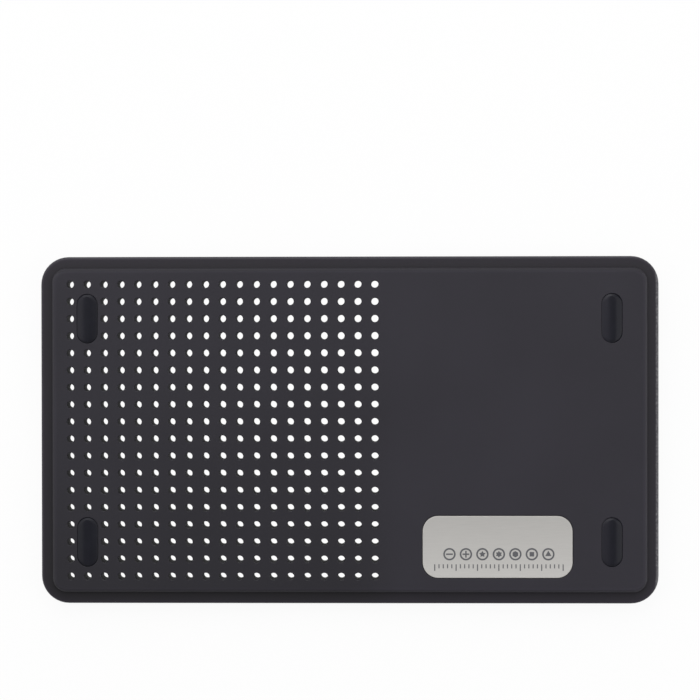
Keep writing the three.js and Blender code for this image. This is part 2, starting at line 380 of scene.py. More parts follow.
def end_tree(tree, copies, material):
    """Make the copies real, give them their finish and hand them out."""
    real = node(tree, "GeometryNodeRealizeInstances", {"Geometry": copies})
    finished = node(tree, "GeometryNodeSetMaterial", {"Geometry": real.outputs[0], "Material": material})
    node(tree, "NodeGroupOutput", {"Geometry": finished.outputs[0]})


def run_tree(tree, values):
    """Evaluate a tree on an empty object with the given inputs and hand back a plain mesh."""
    carrier = bpy.data.objects.new(tree.name, bpy.data.meshes.new(tree.name))
    bpy.context.scene.collection.objects.link(carrier)
    modifier = carrier.modifiers.new("nodes", "NODES")
    modifier.node_group = tree
    for item in tree.interface.items_tree:
        if item.in_out == "INPUT":
            modifier[item.identifier] = values[item.name]
    graph = bpy.context.evaluated_depsgraph_get()
    mesh = bpy.data.meshes.new_from_object(carrier.evaluated_get(graph))
    bpy.data.objects.remove(carrier)
    return mesh


print("tree helpers ready")

# %% Places of the holes
def hole_grid(tree, given):
    """Points of the grid of holes, from the first column to the last."""
    span_x = calculate(tree, "MULTIPLY", calculate(tree, "SUBTRACT", given["Columns"], 1), given["Pitch X"])
    span_y = calculate(tree, "MULTIPLY", calculate(tree, "SUBTRACT", given["Rows"], 1), given["Pitch Y"])
    counts = {"Vertices X": given["Columns"], "Vertices Y": given["Rows"]}
    grid = node(tree, "GeometryNodeMeshGrid", {"Size X": span_x, "Size Y": span_y, **counts})
    middle_x = calculate(tree, "ADD", given["First X"], calculate(tree, "DIVIDE", span_x, 2))
    shift = node(tree, "ShaderNodeCombineXYZ", {"X": middle_x}).outputs[0]
    moved = node(tree, "GeometryNodeSetPosition", {"Geometry": grid.outputs["Mesh"], "Offset": shift})
    return moved.outputs[0]


def clear_of_feet(tree, given, points):
    """Take out the points that lie too close to the slot of a foot, front or rear."""
    position = tree.nodes.new("GeometryNodeInputPosition").outputs[0]
    axes = node(tree, "ShaderNodeSeparateXYZ", {0: position}).outputs
    beside = calculate(tree, "SUBTRACT", axes["X"], given["Foot X"])
    along = calculate(tree, "SUBTRACT", calculate(tree, "ABSOLUTE", axes["Y"]), given["Foot Y"])
    beyond = calculate(tree, "SUBTRACT", calculate(tree, "ABSOLUTE", along), given["Foot Straight"])
    beyond = calculate(tree, "MAXIMUM", beyond, 0.0)
    offset = node(tree, "ShaderNodeCombineXYZ", {"X": beside, "Y": beyond}).outputs[0]
    distance = node(tree, "ShaderNodeVectorMath", {0: offset}, operation="LENGTH").outputs["Value"]
    at_foot = calculate(tree, "LESS_THAN", distance, given["Foot Clear"])
    kept = node(
        tree, "GeometryNodeDeleteGeometry", {"Geometry": points, "Selection": at_foot}, domain="POINT"
    )
    return kept.outputs[0]


print("grid of", HOLE_COLUMNS * HOLE_ROWS, "places before the feet take theirs")

# %% One hole
def hole_sleeve(tree, given):
    """The wall of one hole: a straight sleeve that flares at both ends. Curve to Mesh lays a profile's
    Y downwards, so the heights change sign."""
    size = {"Resolution": given["Sides"], "Radius": given["Radius"]}
    circle = node(tree, "GeometryNodeCurvePrimitiveCircle", size, mode="RADIUS")
    flare = given["Lead-in"]
    throat_top = calculate(tree, "SUBTRACT", given["Top"], flare)
    throat_bottom = calculate(tree, "ADD", given["Bottom"], flare)
    corners = {}
    wall = ((flare, given["Top"]), (0.0, throat_top), (0.0, throat_bottom), (flare, given["Bottom"]))
    for number, (outwards, height) in enumerate(wall, start=1):
        downwards = calculate(tree, "MULTIPLY", height, -1.0)
        corner = node(tree, "ShaderNodeCombineXYZ", {"X": outwards, "Y": downwards})
        corners[f"Point {number}"] = corner.outputs[0]
    loop = node(tree, "GeometryNodeCurvePrimitiveQuadrilateral", corners, mode="POINTS")
    profile = node(tree, "GeometryNodeSetSplineCyclic", {"Geometry": loop.outputs[0], "Cyclic": False})
    sleeve = node(
        tree, "GeometryNodeCurveToMesh", {"Curve": circle.outputs[0], "Profile Curve": profile.outputs[0]}
    )
    return sleeve.outputs[0]


print("a hole is", round(2 * HOLE_RADIUS / MM, 2), "mm wide")

# %% Make the holes
def hole_tree():
    hole_lengths = ("Pitch X", "Pitch Y", "First X", "Radius", "Lead-in", "Top", "Bottom")
    foot_lengths = ("Foot X", "Foot Y", "Foot Straight", "Foot Clear")
    tree, given = start_tree("screw_holes", ("Columns", "Rows", "Sides"), hole_lengths + foot_lengths)
    places = clear_of_feet(tree, given, hole_grid(tree, given))
    sleeve = hole_sleeve(tree, given)
    copies = node(tree, "GeometryNodeInstanceOnPoints", {"Points": places, "Instance": sleeve})
    end_tree(tree, copies.outputs[0], given["Material"])
    return tree


foot_x, foot_y = foot_places["foot_rear_left"]
sleeves = run_tree(
    hole_tree(),
    {
        "Columns": HOLE_COLUMNS,
        "Rows": HOLE_ROWS,
        "Sides": HOLE_SIDES,
        "Pitch X": HOLE_PITCH_X,
        "Pitch Y": HOLE_PITCH_Y,
        "First X": HOLE_FIRST_X,
        "Radius": HOLE_RADIUS,
        "Lead-in": HOLE_LEAD_IN,
        "Top": TOP,
        "Bottom": BOTTOM,
        "Foot X": foot_x,
        "Foot Y": foot_y,
        "Foot Straight": (HEAD_LENGTH - HEAD_WIDTH) / 2,
        "Foot Clear": HEAD_WIDTH / 2 + POCKET_CLEARANCE + HOLE_RADIUS + HOLE_LAND,
        "Material": plastic,
    },
)
print("holes:", len(sleeves.polygons) // (3 * HOLE_SIDES))

# %% [markdown]
# ## The plate
# The plate is one moulding: a rounded side with the mould's parting line round it, a flat rim that falls
# a little towards its edge, and a panel that stands a millimetre above the rim. A sculpted block would
# never be this even, so the side is one loft from the underside to the panel. Each pocket is a loft of its
# own, from the face that it is sunk into down to its floor. All of them end in open edges at a few known
# heights, and filling those heights closes the plate round every hole. The narrow flat ring next to each
# rounding keeps the shading of the big flat faces clean. The pins that push the moulding out have left
# shallow round marks underneath. Painted shade darkens the cove at the panel's foot, the panel's wall, the
# parting groove and the panel's rounded edge at the rear, and a painted highlight lies along the rim's
# outer edge and the top of the panel's edge.

# %% Side of the plate
RIM_ROUND = 0.6 * MM
RIM_FALL = 0.12 * MM
PANEL_ROUND = 0.8 * MM
PANEL_COVE = 0.1 * MM
PANEL_TIGHTER = 0.4 * MM
FLAT_RING = 0.25 * MM
PARTING_HEIGHT = BOTTOM + 1.6 * MM
PARTING_DEPTH = 0.05 * MM
PARTING_FLOOR = 0.03 * MM
PARTING_MOUTH = 0.08 * MM
# Values of the attribute: the rubbed value paints a highlight on an edge and marks its wear, the values
# below zero paint shade in creases and on edges.
RUBBED_AND_PAINTED_LIGHT = 0.5
COVE_PAINTED_SHADE = -0.5
WALL_PAINTED_SHADE = -0.3
GROOVE_PAINTED_SHADE = -0.2


def plate_outline(grow):
    """Outline of the plate, with a slightly tighter corner on the panel than the rim would give."""
    radius = CORNER_RADIUS + grow
    if grow < -RIM_BAND / 2:
        radius -= PANEL_TIGHTER
    return rounded_rectangle(PLATE_LENGTH + 2 * grow, PLATE_WIDTH + 2 * grow, radius)


def plate_side():
    """Profile from the flat underside, up the side, over the rim and onto the panel, with painted light and
    shade.
    """
    panel = -RIM_BAND
    rim_edge = (-RIM_ROUND, RIM_TOP - RIM_FALL - RIM_ROUND, RIM_ROUND)
    panel_foot = (panel + PANEL_COVE, RIM_TOP + PANEL_COVE, PANEL_COVE)
    panel_edge = (panel - PANEL_ROUND, TOP - PANEL_ROUND, PANEL_ROUND)
    risen = FLAT_RING / (RIM_BAND - RIM_ROUND - PANEL_COVE)
    return [
        (-RIM_ROUND - FLAT_RING, BOTTOM, 0.0),
        *arc(-RIM_ROUND, BOTTOM + RIM_ROUND, RIM_ROUND, -90, 0),
        (0.0, PARTING_HEIGHT - PARTING_MOUTH, 0.0),
        # painted shade in the parting groove
        (-PARTING_DEPTH, PARTING_HEIGHT - PARTING_FLOOR, GROOVE_PAINTED_SHADE),
        (-PARTING_DEPTH, PARTING_HEIGHT + PARTING_FLOOR, GROOVE_PAINTED_SHADE),
        (0.0, PARTING_HEIGHT + PARTING_MOUTH, 0.0),
        *arc(*rim_edge, 0, 20, steps=2),
        # painted highlight along the rim's outer edge, which is also worn and scuffed at the plain end
        *arc(*rim_edge, 35, 87, steps=5, wear_and_painted_light=RUBBED_AND_PAINTED_LIGHT),
        (-RIM_ROUND - FLAT_RING, RIM_TOP - RIM_FALL * (1 - risen), 0.0),
        # painted shade in the cove at the foot of the panel
        *arc(*panel_foot, -93, -180, steps=3, wear_and_painted_light=COVE_PAINTED_SHADE),
        # painted shade on the panel's wall
        *arc(*panel_edge, 0, 30, steps=2, wear_and_painted_light=WALL_PAINTED_SHADE),
        *arc(*panel_edge, 42, 78, steps=3),
        # painted highlight where the panel's rounded edge meets its top
        (panel - PANEL_ROUND, TOP, RUBBED_AND_PAINTED_LIGHT),
        (panel - PANEL_ROUND - 2 * FLAT_RING, TOP, 0.0),
    ]


print("side profile points:", len(plate_side()))

# %% Foot pockets
SEAT = TOP - 1.4 * MM
SLOT_GROW = -0.6 * MM
COVE = 0.25 * MM
POCKET_EDGE = 0.12 * MM
POCKET_RING = 0.06 * MM


def head_outline(grow):
    return obround(HEAD_LENGTH + 2 * grow, HEAD_WIDTH + 2 * grow)


def pocket_mouth(grow, height):
    """Rounded edge of a pocket in the top face, from its flat ring down to its wall."""
    return [
        (grow + POCKET_EDGE + POCKET_RING, height, 0.0),
        *arc(grow + POCKET_EDGE, height - POCKET_EDGE, POCKET_EDGE, 90, 180, steps=3),
    ]


foot_pocket = [
    *pocket_mouth(POCKET_CLEARANCE, TOP),
    *arc(POCKET_CLEARANCE - COVE, SEAT + COVE, COVE, 0, -90),
    (SLOT_GROW, SEAT, 0.0),
    *arc(SLOT_GROW + POCKET_EDGE, BOTTOM + POCKET_EDGE, POCKET_EDGE, 180, 270, steps=3),
    (SLOT_GROW + POCKET_EDGE + POCKET_RING, BOTTOM, 0.0),
]
print("a foot sits", round((TOP - SEAT) / MM, 2), "mm below the panel")

# %% Recess of the metal plate
NAMEPLATE_RADIUS = 3.6 * MM
NAMEPLATE_CLEARANCE = 0.15 * MM
GLUE_THICKNESS = 0.15 * MM
nameplate_low, nameplate_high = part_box("nameplate")
NAMEPLATE_PLACE = ((nameplate_low.x + nameplate_high.x) / 2, (nameplate_low.y + nameplate_high.y) / 2)
NAMEPLATE_LENGTH = nameplate_high.x - nameplate_low.x
NAMEPLATE_WIDTH = nameplate_high.y - nameplate_low.y
RECESS_FLOOR = nameplate_low.z - GLUE_THICKNESS


def nameplate_outline(grow):
    length = NAMEPLATE_LENGTH + 2 * grow
    return rounded_rectangle(length, NAMEPLATE_WIDTH + 2 * grow, NAMEPLATE_RADIUS + grow)


nameplate_recess = [*pocket_mouth(NAMEPLATE_CLEARANCE, TOP), (NAMEPLATE_CLEARANCE, RECESS_FLOOR, 0.0)]
print("metal plate recess is", round((TOP - RECESS_FLOOR) / MM, 2), "mm deep")

# %% Pocket of the magnet sheet
MAGNET_RADIUS = 2.0 * MM
MAGNET_CLEARANCE = 0.3 * MM
magnet_low, magnet_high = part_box("magnet_sheet")
MAGNET_PLACE = ((magnet_low.x + magnet_high.x) / 2, (magnet_low.y + magnet_high.y) / 2)
MAGNET_LENGTH = magnet_high.x - magnet_low.x
MAGNET_WIDTH = magnet_high.y - magnet_low.y
CEILING = magnet_high.z + GLUE_THICKNESS


def magnet_outline(grow):
    length = MAGNET_LENGTH + 2 * grow
    return rounded_rectangle(length, MAGNET_WIDTH + 2 * grow, MAGNET_RADIUS + grow, steps=6)


magnet_pocket = [
    (MAGNET_CLEARANCE + COVE + FLAT_RING, BOTTOM, 0.0),
    *arc(MAGNET_CLEARANCE + COVE, BOTTOM + COVE, COVE, 270, 180),
    *arc(MAGNET_CLEARANCE - COVE, CEILING - COVE, COVE, 0, 90),
    (MAGNET_CLEARANCE - COVE - FLAT_RING, CEILING, 0.0),
]
print("magnet pocket is", round((CEILING - BOTTOM) / MM, 2), "mm deep")

# %% Marks of the mould's pins
PIN_RADIUS = 1.8 * MM
PIN_DEPTH = 0.08 * MM
PIN_FLARE = 0.06 * MM
PIN_PLACES = [(62.5 * MM, y * MM) for y in (-12, 0, 12)]


def pin_outline(grow):
    """A circle, as a slot that is as long as it is wide."""
    return obround(2 * (PIN_RADIUS + grow), 2 * (PIN_RADIUS + grow))


pin_mark = [(PIN_FLARE, BOTTOM, 0.0), (0.0, BOTTOM + PIN_DEPTH, 0.0)]
print("marks of pins:", len(PIN_PLACES))

# %% Painted shade on the panel's rear edge
# Painted shade: the rear run of the panel's rounded edge is painted darker, which dims its light line.
REAR_PAINTED_SHADE = -0.5
REAR_REACH = 0.5 * MM
REAR_EDGE = plate_high.y - RIM_BAND - PANEL_ROUND - REAR_REACH
PANEL_EDGE_RINGS = slice(-6, -2)


def paint_shade_on_rear_edge(shell, side_rings):
    """Paint shade on the rings of the panel's rounded edge, where they run along the rear."""
    wear_and_light_layer = shell.verts.layers.float["wear_and_painted_light"]
    for ring in side_rings[PANEL_EDGE_RINGS]:
        for vert in ring:
            if vert.co.y > REAR_EDGE:
                vert[wear_and_light_layer] = REAR_PAINTED_SHADE


print("painted_shade from", round(REAR_EDGE / MM, 2), "mm towards the rear")

# %% Close the plate
plate_shell = bmesh.new()
plate_shell.from_mesh(sleeves)
# painted shade on the rear run of the panel's rounded edge
paint_shade_on_rear_edge(plate_shell, loft(plate_shell, plate_outline, plate_side()))
for place in foot_places.values():
    loft(plate_shell, head_outline, foot_pocket, place)
loft(plate_shell, nameplate_outline, nameplate_recess, NAMEPLATE_PLACE)
loft(plate_shell, magnet_outline, magnet_pocket, MAGNET_PLACE)
for place in PIN_PLACES:
    loft(plate_shell, pin_outline, pin_mark, place)
bmesh.ops.remove_doubles(plate_shell, verts=plate_shell.verts, dist=SAME_POINT)
for level in (BOTTOM, TOP, RECESS_FLOOR, CEILING, BOTTOM + PIN_DEPTH):
    fill_level(plate_shell, level)
plate = finish_mesh("plate", plate_shell, plastic)
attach(plate, "root")
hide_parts("tray_plate")

# %% [markdown]
# ## Rubber feet
# Each foot is a rubber button pushed through the plate: a head in its pocket, a neck in the slot and a pad
# below. Rubber is darker than the plate and its skin is smoother, so the head shows a dark middle and
# lighter flanks. A squashed sphere would have pointed ends, so the head is a loft of the slot's outline:
# broad flanks at its sides rise to a narrow flat top, and its ends are short and steep. A slow noise
# pushes each head a little out of true, most of all the one at the rear right, as rubber that was
# pressed in by hand. Three of the heads have their left flank painted paler, a painted highlight where
# light from the left falls on it.

# %% Satin black rubber
# Painted highlight: the pale grey that the left flanks are painted towards.
FLANK_HIGHLIGHT_GREY = (0.013, 0.0122, 0.02, 1)


def satin_black_rubber():
    material, tree, shader, position = new_finish("satin_black_rubber")
    bloom = grain(tree, position, scale=420.0, detail=4.0)
    tone = two_tones(tree, bloom, (0.0018, 0.0020, 0.0070), (0.0034, 0.0037, 0.0098), start=0.35, end=0.75)
    # The attribute paints a highlight on the left flank of three heads.
    flank_light = node(tree, "ShaderNodeAttribute", attribute_name="wear_and_painted_light").outputs["Fac"]
    flank_lit = node(tree, "ShaderNodeMix", {"Factor": flank_light, 6: tone, 7: FLANK_HIGHLIGHT_GREY}, data_type="RGBA")
    tree.links.new(flank_lit.outputs[2], shader.inputs["Base Color"])
    dullness = ranged(tree, bloom, 0.0, 1.0, to_low=0.38, to_high=0.5)
    tree.links.new(dullness, shader.inputs["Roughness"])
    relief(tree, shader, grain(tree, position, scale=1900.0, detail=2.0), strength=0.1, depth=0.03 * MM)
    shader.inputs["Specular IOR Level"].default_value = 0.3
    return material


rubber = satin_black_rubber()
print("finish:", rubber.name)

# %% Profile of a foot
PAD_GROW = 0.2 * MM
PAD_ROUND = 0.3 * MM
NECK_GROW = -0.7 * MM
SKIRT_GROW = 0.27 * MM
RUBBER_EDGE = 0.15 * MM
CROWN_FOOT = TOP - 0.16 * MM
CROWN_TOP = cad_high[2]
CROWN_FLANK = ((0.0, 0.0), (0.06, 0.08), (0.5, 0.36), (0.95, 0.64), (1.35, 0.88))
CROWN_MIDDLE = ((1.65, 0.96), (1.9, 0.99), (2.1, 1.0))
CROWN_END_SHARE = 0.3


def crown_outline(grow):
    """Outline of the crown, which draws in much less at its ends than at its sides."""
    end_grow = SKIRT_GROW + CROWN_END_SHARE * (grow - SKIRT_GROW)
    return obround(HEAD_LENGTH + 2 * end_grow, HEAD_WIDTH + 2 * grow)


def crown_profile():
    """The crown from its side inwards: each point is millimetres in, and the share of the rise."""
    rise = CROWN_TOP - CROWN_FOOT
    points = CROWN_FLANK + CROWN_MIDDLE
    return [(SKIRT_GROW - inwards * MM, CROWN_FOOT + share * rise, 0.0) for inwards, share in points]


foot_profile = [
    (PAD_GROW - PAD_ROUND - FLAT_RING, 0.0, 0.0),
    *arc(PAD_GROW - PAD_ROUND, PAD_ROUND, PAD_ROUND, -90, 0),
    *arc(PAD_GROW - RUBBER_EDGE, BOTTOM - RUBBER_EDGE, RUBBER_EDGE, 0, 90, steps=3),
    (NECK_GROW, BOTTOM, 0.0),
    (NECK_GROW, SEAT, 0.0),
    *arc(SKIRT_GROW - RUBBER_EDGE, SEAT + RUBBER_EDGE, RUBBER_EDGE, -90, 0, steps=3),
    (SKIRT_GROW, CROWN_FOOT, 0.0),
]
print("a head stands", round((CROWN_TOP - TOP) / MM, 2), "mm proud of the panel")

# %% Painted highlight on the feet
# How strongly the left flank of each head is painted with a highlight.
LEFT_FLANK_LIGHT = {"foot_rear_left": 0.5, "foot_rear_right": 1.0, "foot_front_right": 0.8}
FLANK_LIGHT_START = 0.1 * MM
FLANK_LIGHT_FULL = 1.0 * MM


def paint_light_on_left_flank(shell, place, amount):
    """Paint a highlight on the left flank of a crown, fading out towards its middle."""
    wear_and_light_layer = shell.verts.layers.float["wear_and_painted_light"]
    for vert in shell.verts:
        if vert.co.z > CROWN_FOOT - SAME_POINT:
            leftwards = place[0] - vert.co.x
            share = (leftwards - FLANK_LIGHT_START) / (FLANK_LIGHT_FULL - FLANK_LIGHT_START)
            vert[wear_and_light_layer] = amount * min(max(share, 0.0), 1.0)


print("chalky feet:", list(LEFT_FLANK_LIGHT))

# %% Make the feet
UNEVEN = 0.03 * MM
RAGGED = {"foot_rear_right": 0.09 * MM}
WAVES_PER_METRE = 900
FRONT_LEFT_BIAS = 0.4
CROWN_KEPT = 0.01 * MM


def push_out_of_true(shell, amount):
    """Push the side of a head to and fro, a little more to the front left, and leave the rest alone."""
    for vert in shell.verts:
        if SEAT < vert.co.z < CROWN_TOP - CROWN_KEPT:
            push = noise.noise_vector(vert.co * WAVES_PER_METRE)
            vert.co.x += amount * (push.x - FRONT_LEFT_BIAS)
            vert.co.y += amount * (push.y - FRONT_LEFT_BIAS)


for foot_name, place in foot_places.items():
    foot_shell = bmesh.new()
    loft(foot_shell, head_outline, foot_profile, place)
    loft(foot_shell, crown_outline, crown_profile(), place)
    bmesh.ops.remove_doubles(foot_shell, verts=foot_shell.verts, dist=SAME_POINT)
    push_out_of_true(foot_shell, RAGGED.get(foot_name, UNEVEN))
    # painted highlight on the left flank
    paint_light_on_left_flank(foot_shell, place, LEFT_FLANK_LIGHT.get(foot_name, 0.0))
    for level in (0.0, CROWN_TOP):
        fill_level(foot_shell, level)
    foot = finish_mesh(foot_name.replace("foot", "rubber_foot"), foot_shell, rubber)
    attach(foot, "root")
    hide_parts(foot_name)

# %% [markdown]
# ## Metal plate
# A thin steel plate is glued into its recess, flush with the face. Brushing leaves fine scratches along
# its length, and a satin lacquer over them mutes the mirror. Full Metallic would flash white whenever a
# lamp lines up, so Metallic stays low and the colour carries most of the brightness. Anisotropy could give
# the brushed look, but real scratches vary, so a noise that is stretched along X shapes tone and height.
# The plate is painted a little paler towards the front, a painted sheen.

# %% Brushed steel
SCRATCH_STRETCH = (0.03, 1.0, 1.0)
# Painted sheen: the plate is painted paler towards the front.
PAINTED_SHEEN_REAR = 0.98
PAINTED_SHEEN_FRONT = 1.22


def brushed_steel():
    material, tree, shader, position = new_finish("brushed_steel_plate")
    stretched = node(tree, "ShaderNodeMapping", {"Vector": position, "Scale": SCRATCH_STRETCH})
    scratches = grain(tree, stretched.outputs[0], scale=9000.0)
    tone = two_tones(tree, scratches, (0.512, 0.5, 0.482), (0.556, 0.543, 0.522), start=0.25, end=0.8)
    across = node(tree, "ShaderNodeSeparateXYZ", {0: position}).outputs["Y"]
    # painted sheen, paler towards the front
    painted_sheen = ranged(tree, across, nameplate_high.y, nameplate_low.y, PAINTED_SHEEN_REAR, PAINTED_SHEEN_FRONT)
    shaded = node(tree, "ShaderNodeVectorMath", {0: tone, "Scale": painted_sheen}, operation="SCALE")
    tree.links.new(shaded.outputs[0], shader.inputs["Base Color"])
    haze = grain(tree, position, scale=60.0)
    dullness = ranged(tree, haze, 0.0, 1.0, to_low=0.42, to_high=0.54)
    tree.links.new(dullness, shader.inputs["Roughness"])
    relief(tree, shader, scratches, strength=0.12, depth=0.01 * MM)
    shader.inputs["Metallic"].default_value = 0.35
    return material


steel = brushed_steel()
print("finish:", steel.name)

# %% Make the metal plate
NAMEPLATE_EDGE = 0.1 * MM


def thin_sheet(name, outline, place, low, high, edge, material):
    """A flat sheet with rounded edges, closed on both faces."""
    profile = [
        (-edge - FLAT_RING, low, 0.0),
        *arc(-edge, low + edge, edge, -90, 0, steps=3),
        *arc(-edge, high - edge, edge, 0, 90, steps=3),
        (-edge - FLAT_RING, high, 0.0),
    ]
    shell = bmesh.new()
    loft(shell, outline, profile, place)
    for level in (low, high):
        fill_level(shell, level)
    return finish_mesh(name, shell, material)


metal_plate = thin_sheet(
    "metal_plate",
    nameplate_outline,
    NAMEPLATE_PLACE,
    nameplate_low.z,
    nameplate_high.z,
    NAMEPLATE_EDGE,
    steel,
)
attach(metal_plate, "root")
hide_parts("nameplate")

# %% [markdown]
# ## Printed marks
# The metal plate carries plain marks in grey ink: a row of screw heads, each with a different drive, and a
# short millimetre rule for measuring a screw. A picture would need an image texture. Ink has a thickness,
# so the marks are thin prisms, which also keeps them from flickering against the metal. The ticks repeat,
# so Geometry Nodes copies one bar along a line and makes every fifth one longer.

# %% Printing ink
INK_THICKNESS = 0.015 * MM
INK_BOTTOM = nameplate_high.z
INK_TOP = INK_BOTTOM + INK_THICKNESS


def printing_ink():
    material, tree, shader, position = new_finish("grey_printing_ink")
    coverage = grain(tree, position, scale=3500.0)
    tone = two_tones(tree, coverage, (0.075, 0.076, 0.085), (0.145, 0.145, 0.155))
    tree.links.new(tone, shader.inputs["Base Color"])
    shader.inputs["Roughness"].default_value = 0.55
    return material


ink = printing_ink()
print("finish:", ink.name)

# %% Shapes of the screw drives
def slot_drive(length, width):
    """Points of a single bar."""
    return [(-length, -width), (length, -width), (length, width), (-length, width)]


def cross_drive(length, width):
    """Points of a plus sign, clockwise from the top of its upper arm."""
    right = [(width, length), (width, width), (length, width)]
    right += [(x, -y) for x, y in right[::-1]]
    return right + [(-x, -y) for x, y in right]


def polygon_drive(corners, radius, turn=90):
    """Points of a regular polygon."""
    angles = [math.radians(turn + 360 * i / corners) for i in range(corners)]
    return [(radius * math.cos(a), radius * math.sin(a)) for a in angles]


def star_drive(corners, outer, inner):
    """Points of a star, from the corners of a polygon with twice as many."""
    points = polygon_drive(2 * corners, outer)
    share = inner / outer
    return [(x * share, y * share) if i % 2 else (x, y) for i, (x, y) in enumerate(points)]


DRIVES = (
    slot_drive(0.8 * MM, 0.17 * MM),
    cross_drive(0.8 * MM, 0.17 * MM),
    star_drive(5, 0.8 * MM, 0.42 * MM),
    star_drive(6, 0.8 * MM, 0.5 * MM),
    polygon_drive(6, 0.75 * MM),
    polygon_drive(4, 0.75 * MM, turn=45),
    polygon_drive(3, 0.85 * MM),
)
print("points of the drives:", [len(drive) for drive in DRIVES])

# %% Screw heads in the ink
HEAD_ROW_X = NAMEPLATE_PLACE[0] + 0.3 * MM
HEAD_ROW_Y = NAMEPLATE_PLACE[1] - 1.69 * MM
HEAD_SPACING = 3.85 * MM
HEAD_RADIUS = 1.45 * MM
HEAD_STROKE = 0.38 * MM
HEAD_SIDES = 32


def ring_outline(grow):
    return polygon_drive(HEAD_SIDES, HEAD_RADIUS + grow)


def prism(shell, points, place):
    """A thin solid of the ink, from its outline."""
    lower = [shell.verts.new((x + place[0], y + place[1], INK_BOTTOM)) for x, y in points]
    upper = [shell.verts.new((x + place[0], y + place[1], INK_TOP)) for x, y in points]
    shell.faces.new(lower[::-1])
    shell.faces.new(upper)
    for i in range(len(points)):
        j = (i + 1) % len(points)
        shell.faces.new((lower[i], lower[j], upper[j], upper[i]))


ring_section = [(0.0, INK_BOTTOM, 0.0), (0.0, INK_TOP, 0.0)]
ring_section += [(-HEAD_STROKE, height, 0.0) for _, height, _ in ring_section[::-1]]
ring_section.append(ring_section[0])
marks_shell = bmesh.new()
for i, drive in enumerate(DRIVES):
    place = (HEAD_ROW_X + (i - len(DRIVES) // 2) * HEAD_SPACING, HEAD_ROW_Y)
    loft(marks_shell, ring_outline, ring_section, place)
    prism(marks_shell, drive, place)
bmesh.ops.remove_doubles(marks_shell, verts=marks_shell.verts, dist=SAME_POINT)
print("ink faces:", len(marks_shell.faces))

# %% Geometry Nodes tree for the millimetre rule
def rule_tree():
    sizes = ("Pitch", "Width", "Length", "Longer", "Thickness")
    tree, given = start_tree("rule_ticks", ("Ticks", "Long Every"), sizes, ("Start", "Half Bar"))
    step = node(tree, "ShaderNodeCombineXYZ", {"X": given["Pitch"]}).outputs[0]
    line = {"Count": given["Ticks"], "Start Location": given["Start"], "Offset": step}
    points = node(tree, "GeometryNodeMeshLine", line)
    bar_size = {"X": given["Width"], "Y": given["Length"], "Z": given["Thickness"]}
    size = node(tree, "ShaderNodeCombineXYZ", bar_size).outputs[0]
    bar = node(tree, "GeometryNodeMeshCube", {"Size": size}).outputs["Mesh"]
    hung = node(tree, "GeometryNodeSetPosition", {"Geometry": bar, "Offset": given["Half Bar"]})
    index = tree.nodes.new("GeometryNodeInputIndex").outputs[0]
    is_long = calculate(tree, "LESS_THAN", calculate(tree, "MODULO", index, given["Long Every"]), 0.5)
    stretch_y = calculate(tree, "ADD", calculate(tree, "MULTIPLY", is_long, given["Longer"]), 1.0)
    stretch = node(tree, "ShaderNodeCombineXYZ", {"X": 1.0, "Y": stretch_y, "Z": 1.0}).outputs[0]
    ticks = {"Points": points.outputs[0], "Instance": hung.outputs[0], "Scale": stretch}
    copies = node(tree, "GeometryNodeInstanceOnPoints", ticks)
    end_tree(tree, copies.outputs[0], given["Material"])
    return tree


rule = rule_tree()
print("rule tree has", len(rule.nodes), "nodes")

# %% Millimetre rule in the ink
RULE_Y = NAMEPLATE_PLACE[1] - 4.05 * MM
RULE_TICKS = 31
RULE_PITCH = 1.0 * MM
TICK_WIDTH = 0.24 * MM
TICK_LENGTH = 0.95 * MM
rule_start_x = HEAD_ROW_X - (RULE_TICKS - 1) / 2 * RULE_PITCH
ticks = run_tree(
    rule,
    {
        "Ticks": RULE_TICKS,
        "Long Every": 5,
        "Pitch": RULE_PITCH,
        "Width": TICK_WIDTH,
        "Length": TICK_LENGTH,
        "Longer": 0.6,
        "Thickness": INK_THICKNESS,
        "Start": (rule_start_x, RULE_Y, INK_BOTTOM + INK_THICKNESS / 2),
        "Half Bar": (0.0, -TICK_LENGTH / 2, 0.0),
        "Material": ink,
    },
)
marks_shell.from_mesh(ticks)
marks = finish_mesh("ink_marks", marks_shell, ink, sharp_degrees=20)
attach(marks, "root")

# %% [markdown]
# ## Magnet sheet and glue films
# A sheet of ferrite-filled rubber lies in a pocket under the plain half. Such sheet is rolled, so it is
# dull brown-black with faint parallel lines: a noise that is stretched along Y. The two glue films are
# seen only at their edges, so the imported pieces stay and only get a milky, slightly glossy finish.

# %% Magnet sheet
MAGNET_EDGE = 0.2 * MM
ROLLED_STRETCH = (1.0, 0.04, 1.0)


def ferrite_rubber():
    material, tree, shader, position = new_finish("ferrite_rubber")
    rolled = node(tree, "ShaderNodeMapping", {"Vector": position, "Scale": ROLLED_STRETCH})
    lines = grain(tree, rolled.outputs[0], scale=1400.0)
    tone = two_tones(tree, lines, (0.03, 0.024, 0.02), (0.052, 0.041, 0.034), start=0.3, end=0.75)
    tree.links.new(tone, shader.inputs["Base Color"])
    relief(tree, shader, lines, strength=0.2, depth=0.04 * MM)
    shader.inputs["Roughness"].default_value = 0.7
    return material


ferrite_sheet = thin_sheet(
    "ferrite_sheet",
    magnet_outline,
    MAGNET_PLACE,
    magnet_low.z,
    magnet_high.z,
    MAGNET_EDGE,
    ferrite_rubber(),
)
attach(ferrite_sheet, "root")
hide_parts("magnet_sheet")

# %% Glue films
def glue_film():
    material, tree, shader, position = new_finish("milky_glue_film")
    ripple = grain(tree, position, scale=300.0)
    tone = two_tones(tree, ripple, (0.55, 0.54, 0.48), (0.72, 0.71, 0.66))
    tree.links.new(tone, shader.inputs["Base Color"])
    shader.inputs["Roughness"].default_value = 0.4
    return material


